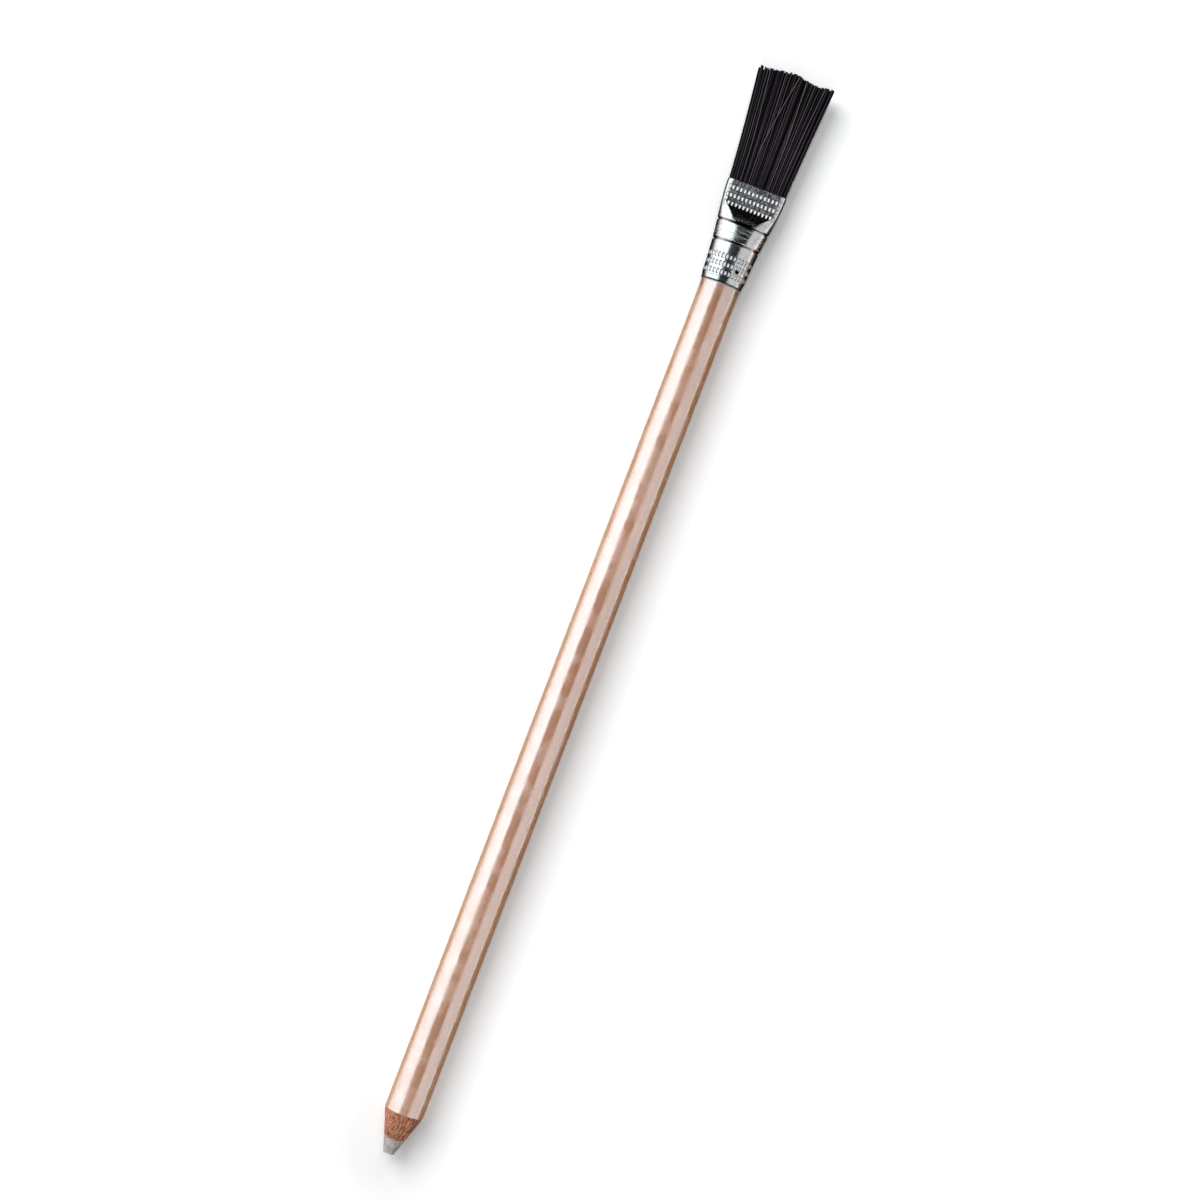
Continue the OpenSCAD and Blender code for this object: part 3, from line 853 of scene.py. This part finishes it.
RAGGED = (0, 0.05, 0.1, 0, 0.3, 0.1, 0.05, 0.1, 0.1, 0.3)
RAGGED += (0.1, 0.35, 0.1, 0.4, 0.25, 0.2, 0.65, 0.05, 0.45)
NOTCHED = (0, 0, 0, 0, 0.05, 0, 0.05, 0, 0.12, 0, 0.2, 0.03, 0.18, 0.02)
BENT_LOCKS = ((0.34, -2.9), (-0.36, 0.7), (-0.7, -0.5), (0.62, 0.6))
BENT_LIFT = 1.25
BENT_SHEEN = 0.75
BRISTLE_BLACK = (0.002, 0.0016, 0.002, 1)
BRISTLE_PLUM = (0.27, 0.205, 0.285, 1)
BRISTLE_GREY = (0.27, 0.24, 0.255, 1)

bm = bmesh.new()
bmesh.ops.create_cone(
    bm,
    cap_ends=True,
    segments=STRAND_SIDES,
    radius1=1,
    radius2=STRAND_TAPER,
    depth=1,
    matrix=Matrix.Translation((0, 0, 0.5)),
)
sides = [e for e in bm.edges if abs(e.verts[0].co.z - e.verts[1].co.z) > 0.5]
bmesh.ops.subdivide_edges(bm, edges=sides, cuts=STRAND_CUTS, use_grid_fill=True)
strand = bpy.data.meshes.new("strand")
bm.to_mesh(strand)
bm.free()
strand_points = [v.co.copy() for v in strand.vertices]

dice = random.Random(LOCK_SEED)
locks = []
for layer in range(LOCK_LAYERS):
    v = 2 * (layer + 0.5) / LOCK_LAYERS - 1
    for k in range(LOCKS_ACROSS):
        u = 2 * (k + 0.5 + LOCK_STAGGER * (-1) ** layer) / LOCKS_ACROSS - 1
        u = max(-LAST_LOCK, min(LAST_LOCK, u + dice.gauss(0, LOCK_JITTER)))
        if layer in (0, LOCK_LAYERS - 1):
            facing = math.copysign(math.pi / 2, v)
        elif k in (0, LOCKS_ACROSS - 1):
            facing = 0.0 if k else math.pi
        else:
            facing = None
        bend = dice.gauss(0, LOCK_BEND) * (1 - abs(u))
        sheen = SHEEN_LEAST + SHEEN * (k * GOLDEN_SHARE % 1) ** SHEEN_CURVE
        locks.append((u, LAYERS_SPREAD * v + dice.gauss(0, LAYER_JITTER), bend, facing, sheen))
locks += [(u, BENT_LIFT, bend * MM, math.pi / 2, BENT_SHEEN) for u, bend in BENT_LOCKS]


def cut_short(u):
    """How far the bristles at u, from -1 to 1 across the brush, end below the longest ones."""
    if u < 0:
        notch = NOTCHED[min(int(-u * len(NOTCHED)), len(NOTCHED) - 1)]
        slope = RIGHT_SHORT * share(-u, 0, RIGHT_SHORT_TO) ** RIGHT_CURVE
        longer = RIGHT_CORNER * share(-u, RIGHT_CORNER_FROM, RIGHT_CORNER_TO)
        return slope - longer + notch * MM
    ragged = RAGGED[min(int(u * len(RAGGED)), len(RAGGED) - 1)]
    return LEFT_SHORT * u**LEFT_CURVE + ragged * MM


bm = bmesh.new()
tone_layer = bm.verts.layers.float.new("tone")
for _ in range(len(locks) * LOCK_STRANDS):
    bm.from_mesh(strand)
bpy.data.meshes.remove(strand)
bm.verts.ensure_lookup_table()

placed = 0
for u, v, bend, facing, sheen in locks:
    root = Vector((ROOT_X, ROOT_LEAN + u * ROOT_HALF_W, v * ROOT_HALF_T))
    short = cut_short(u) + dice.uniform(0, CUT_JITTER)
    end = Vector((END_X - END_CLEAR - short, END_LEAN + u * END_HALF_W, v * END_HALF_T))
    end.z += dice.gauss(0, END_JITTER)
    bend_from = dice.uniform(*BEND_FROM)
    for k in range(LOCK_STRANDS):
        # Painted highlight: the strand on the outer side of each outer lock and of each bent lock
        # is painted lighter, by its sheen.
        bright = k == 1 and facing is not None
        place = k - 1 + dice.uniform(-TURN_JITTER, TURN_JITTER)
        turn = (facing or 0.0) + math.tau * place / (LOCK_STRANDS - 1)
        least = LOCK_LEAST_BRIGHT if bright else LOCK_LEAST
        spread = LOCK_R * dice.uniform(least, LOCK_MOST) if k else 0.0
        radius = STRAND_R * dice.uniform(STRAND_LEAST, STRAND_MOST)
        reach = abs(dice.gauss(0, REACH_JITTER))
        tone = sheen if bright else dice.uniform(0, DARK_TONE)
        for point in strand_points:
            t = point.z
            fan = t + FAN_BOW * t * (t - 1)
            bent = bend * max(0.0, (t - bend_from) / (1 - bend_from)) ** BEND_CURVE
            twist = turn + LOCK_TWIST * t
            middle = Vector(
                (
                    root.x + (end.x - reach - root.x) * t,
                    root.y + (end.y - root.y) * fan + bent + spread * math.cos(twist),
                    root.z + (end.z - root.z) * fan + spread * math.sin(twist),
                )
            )
            vert = bm.verts[placed]
            vert.co = middle + AXIS + radius * Vector((0, point.x, point.y))
            # Painted shade: every strand is painted darker towards its root.
            vert[tone_layer] = tone * (0.5 + 0.5 * share(t, SHADED_TO, LIT_FROM))
            placed += 1
bmesh.ops.recalc_face_normals(bm, faces=bm.faces)

hair = Finish("bristle", IOR=1.38, Specular_IOR_Level=0.15)
tint = hair.noise(500, stretch=(8, 1, 1), detail=2)
colour = hair.mix(hair.between(tint, 0.4, 0.6), BRISTLE_PLUM, BRISTLE_GREY)
hair.paint(
    Base_Color=hair.mix(hair.painted("tone"), BRISTLE_BLACK, colour),
    Roughness=0.45 + 0.2 * tint,
)
finished("bristles", bm, hair.material, crease=80)

# Table and light
# The pencil lies on a white table under a key lamp and a long strip, which show in no reflection.
# A panel and dark cards show only in reflections, and the table is lifted to white where seen, less
# so beside the barrel as a painted shadow.
TABLE_SIZE = 4.0
TABLE_WHITE = 0.86
TABLE_LIFT = 1.14
FAR_LIFT = 0.08
FAR_FROM = 10 * MM
FAR_TO = 60 * MM
HORIZON_LIFT = 0.8
HORIZON_FROM = 0.3
HORIZON_TO = 1.2
NEAR_SHADE = 0.13
NEAR_TO = 5 * MM
NEAR_FADE = 13 * MM
SHADE_TO_X = 75 * MM
SHADE_FADE_X = 95 * MM
TIP_LIFT = 0.06
TIP_LIFT_FROM_X = -20 * MM
CARD_BLACK = (0.003, 0.003, 0.003, 1)
CARD_BROWN = (0.2, 0.155, 0.115, 1)
CARD_ORANGE = (0.26, 0.13, 0.05, 1)
CARD_GREY = (0.42, 0.42, 0.42, 1)
CARD_TAN = (0.48, 0.38, 0.24, 1)
OVERHEAD = 0.72
CARDS_FROM_X = -0.11
CARDS_SPLIT_X = 0.063
CARDS_TO_X = 0.112
CARDS_Z = 0.1 * MM
GRADED_FROM = 7 * MM
GRADED_TO = 21 * MM
PANEL_TILT = 40
PANEL_LONG = 2.5
PANEL_WIDE = 4.6
PANEL_SHIFT = 0.65
BEHIND_PANEL = (PANEL_SHIFT, 1.299, 1.548)
PANEL_COLOUR = (0.787, 0.932, 1.0)
WORLD_COLOUR = (0.883, 0.956, 1, 1)
WORLD_LEVEL = 0.1
MIRRORED_LEVEL = 0.72


def staged(name, size, middle, turn=0.0, axis="Y", taper=1.0, slant=0.0):
    """A flat sheet of the set, lying level or turned about an axis, and narrower at its far end."""
    bm = bmesh.new()
    bmesh.ops.create_grid(bm, x_segments=1, y_segments=1, size=0.5)
    bmesh.ops.scale(bm, vec=(size[0], size[1], 1), verts=bm.verts)
    far_end = [v for v in bm.verts if v.co.x > 0]
    bmesh.ops.scale(bm, vec=(1, taper, 1), verts=far_end)
    bmesh.ops.translate(bm, vec=(0, slant, 0), verts=far_end)
    turning = Matrix.Rotation(turn, 3, axis)
    bmesh.ops.rotate(bm, cent=(0, 0, 0), matrix=turning, verts=bm.verts)
    bmesh.ops.translate(bm, vec=middle, verts=bm.verts)
    mesh = bpy.data.meshes.new(name)
    bm.to_mesh(mesh)
    bm.free()
    sheet = bpy.data.objects.new(name, mesh)
    bpy.context.collection.objects.link(sheet)
    return sheet


def card(name, colour, *place, **form):
    """A matt card of the set that shows only in reflections."""
    sheet = staged(name, *place, **form)
    felt = Finish(name, Base_Color=colour, Roughness=1.0, Specular_IOR_Level=0.0)
    sheet.data.materials.append(felt.material)
    sheet.visible_camera = False
    sheet.visible_diffuse = False
    sheet.visible_shadow = False
    return felt


def sent_by(nodes, *kinds):
    """1 for rays of the given kinds, and 0 for all others."""
    return sum(nodes.node("ShaderNodeLightPath", output=f"Is {kind} Ray") for kind in kinds)


paper = Finish("table_white", Roughness=1.0, Specular_IOR_Level=0.0)
plain = (TABLE_WHITE, TABLE_WHITE, TABLE_WHITE, 1)
length_wise = paper.along("X")
beyond = (abs(length_wise) - END_X).at_least(0.0)
away = (beyond * beyond + paper.across() * paper.across()) ** 0.5
# Painted shadow: beside the barrel the table is lifted less, so it shows darker there.
near = paper.between(away, NEAR_FADE, NEAR_TO)
near = near * paper.between(length_wise, SHADE_FADE_X, SHADE_TO_X)
lift = TABLE_LIFT + FAR_LIFT * paper.between(away, FAR_FROM, FAR_TO)
lift = lift + HORIZON_LIFT * paper.between(away, HORIZON_FROM, HORIZON_TO)
lift = lift + TIP_LIFT * paper.between(length_wise, TIP_LIFT_FROM_X, TIP_X) - NEAR_SHADE * near
seen = sent_by(paper, "Camera", "Glossy", "Transmission")
paper.paint(Base_Color=paper.mix(seen, plain, lift))
table = staged("table", (TABLE_SIZE, TABLE_SIZE), (0, 0, 0))
table.data.materials.append(paper.material)

card("card_overhead", CARD_BLACK, (1.2, 0.705), (-0.6, -0.0325, OVERHEAD))
card(
    "card_overhead_taper",
    CARD_BLACK,
    (0.12, 0.83),
    (0.06, -0.035, OVERHEAD),
    taper=0.711,
    slant=0.04,
)
card("card_overhead_narrow", CARD_BLACK, (0.13, 0.59), (0.185, 0.005, OVERHEAD))
card("card_overhead_wide", CARD_BLACK, (0.6, 0.99), (0.55, -0.185, OVERHEAD))
card("card_beyond", CARD_BLACK, (0.62, 0.8), (0.6, 0, 0.31), turn=math.pi / 2)
card(
    "card_behind_panel",
    CARD_BLACK,
    (PANEL_LONG, PANEL_WIDE),
    BEHIND_PANEL,
    turn=math.radians(-PANEL_TILT),
    axis="X",
)
# The cards on the table beside the pencil are painted shade: they stand for its shaded floor in the
# reflections, and their tan, orange, grey and brown tint those reflections.
barrel_length, barrel_x = CARDS_SPLIT_X - CARDS_FROM_X, (CARDS_SPLIT_X + CARDS_FROM_X) / 2
brush_length, brush_x = CARDS_TO_X - CARDS_SPLIT_X, (CARDS_TO_X + CARDS_SPLIT_X) / 2
card("card_left_of_barrel", CARD_TAN, (barrel_length, 0.0165), (barrel_x, 0.0128, CARDS_Z))
card("card_right_of_barrel", CARD_ORANGE, (barrel_length, 0.038), (barrel_x, -0.0235, CARDS_Z))
for name, colour, width, middle_y in (
    ("card_left_of_brush", CARD_GREY, 0.021, 0.0105),
    ("card_right_of_brush", CARD_BROWN, 0.026, -0.013),
):
    felt = card(name, colour, (brush_length, width), (brush_x, middle_y, CARDS_Z))
    graded = felt.between(felt.across(), GRADED_FROM, GRADED_TO)
    felt.paint(Base_Color=felt.mix(graded, CARD_BLACK, colour))


def soft_box(name, tilt, distance, long, wide, radiance, shift=0.0, colour=(1, 1, 1)):
    """A panel lamp tilted from straight overhead towards +Y and shifted along X."""
    lamp = bpy.data.lights.new(name, "AREA")
    lamp.shape = "RECTANGLE"
    lamp.size = long
    lamp.size_y = wide
    lamp.color = colour
    lamp.energy = radiance * math.pi * long * wide
    box = bpy.data.objects.new(name, lamp)
    out = Vector((0, math.sin(math.radians(tilt)), math.cos(math.radians(tilt))))
    long_way = Vector((1, 0, 0))
    facing = Matrix((long_way, out.cross(long_way), out)).transposed().to_4x4()
    box.matrix_world = Matrix.Translation(out * distance + shift * long_way) @ facing
    box.visible_camera = False
    bpy.context.collection.objects.link(box)
    return box


panel = soft_box(
    "reflected_panel",
    tilt=PANEL_TILT,
    distance=2.0,
    long=PANEL_LONG,
    wide=PANEL_WIDE,
    radiance=1.7,
    shift=PANEL_SHIFT,
    colour=PANEL_COLOUR,
)
panel.visible_diffuse = False
key = soft_box("key_box", tilt=32, distance=1.82, long=1.2, wide=1.3, radiance=6.0, shift=0.85)
key.visible_glossy = False
top = soft_box("top_box", tilt=0, distance=2.0, long=5.0, wide=0.3, radiance=5.0)
top.visible_glossy = False

world = bpy.data.worlds.new("studio")
world.use_nodes = True
bpy.context.scene.world = world
sky = Nodes(world.node_tree)
background = world.node_tree.nodes["Background"]
mirrored = (MIRRORED_LEVEL - WORLD_LEVEL) * sent_by(sky, "Glossy", "Transmission")
seen = (1 - WORLD_LEVEL) * sent_by(sky, "Camera")
sky.feed(background.inputs["Color"], WORLD_COLOUR)
sky.feed(background.inputs["Strength"], WORLD_LEVEL + mirrored + seen)

# Camera
# It looks straight down on the pencil from a little over half a metre.
# The pencil lies aslant in the picture, with its brush to the upper right.
PICTURE = 1200
PIXELS_PER_M = 5557
PENCIL_TURN = math.radians(20.95)
CAMERA_HEIGHT = 0.575
CENTRE_FROM_TIP = 106.55 * MM
CENTRE_ACROSS = -0.01 * MM
SENSOR = 36
NEAREST = 0.01
target = Vector((TIP_X + CENTRE_FROM_TIP, CENTRE_ACROSS, AXIS.z))
right = Vector((math.sin(PENCIL_TURN), -math.cos(PENCIL_TURN), 0))
up = Vector((math.cos(PENCIL_TURN), math.sin(PENCIL_TURN), 0))
back = Vector((0, 0, 1))
facing = Matrix((right, up, back)).transposed().to_4x4()
camera = bpy.data.objects.new("camera", bpy.data.cameras.new("camera"))
camera.matrix_world = Matrix.Translation(target + CAMERA_HEIGHT * back) @ facing
camera.data.sensor_width = SENSOR
camera.data.lens = SENSOR * PIXELS_PER_M * CAMERA_HEIGHT / PICTURE
camera.data.clip_start = NEAREST
bpy.context.collection.objects.link(camera)
bpy.context.scene.camera = camera
bpy.context.scene.view_settings.view_transform = "Standard"
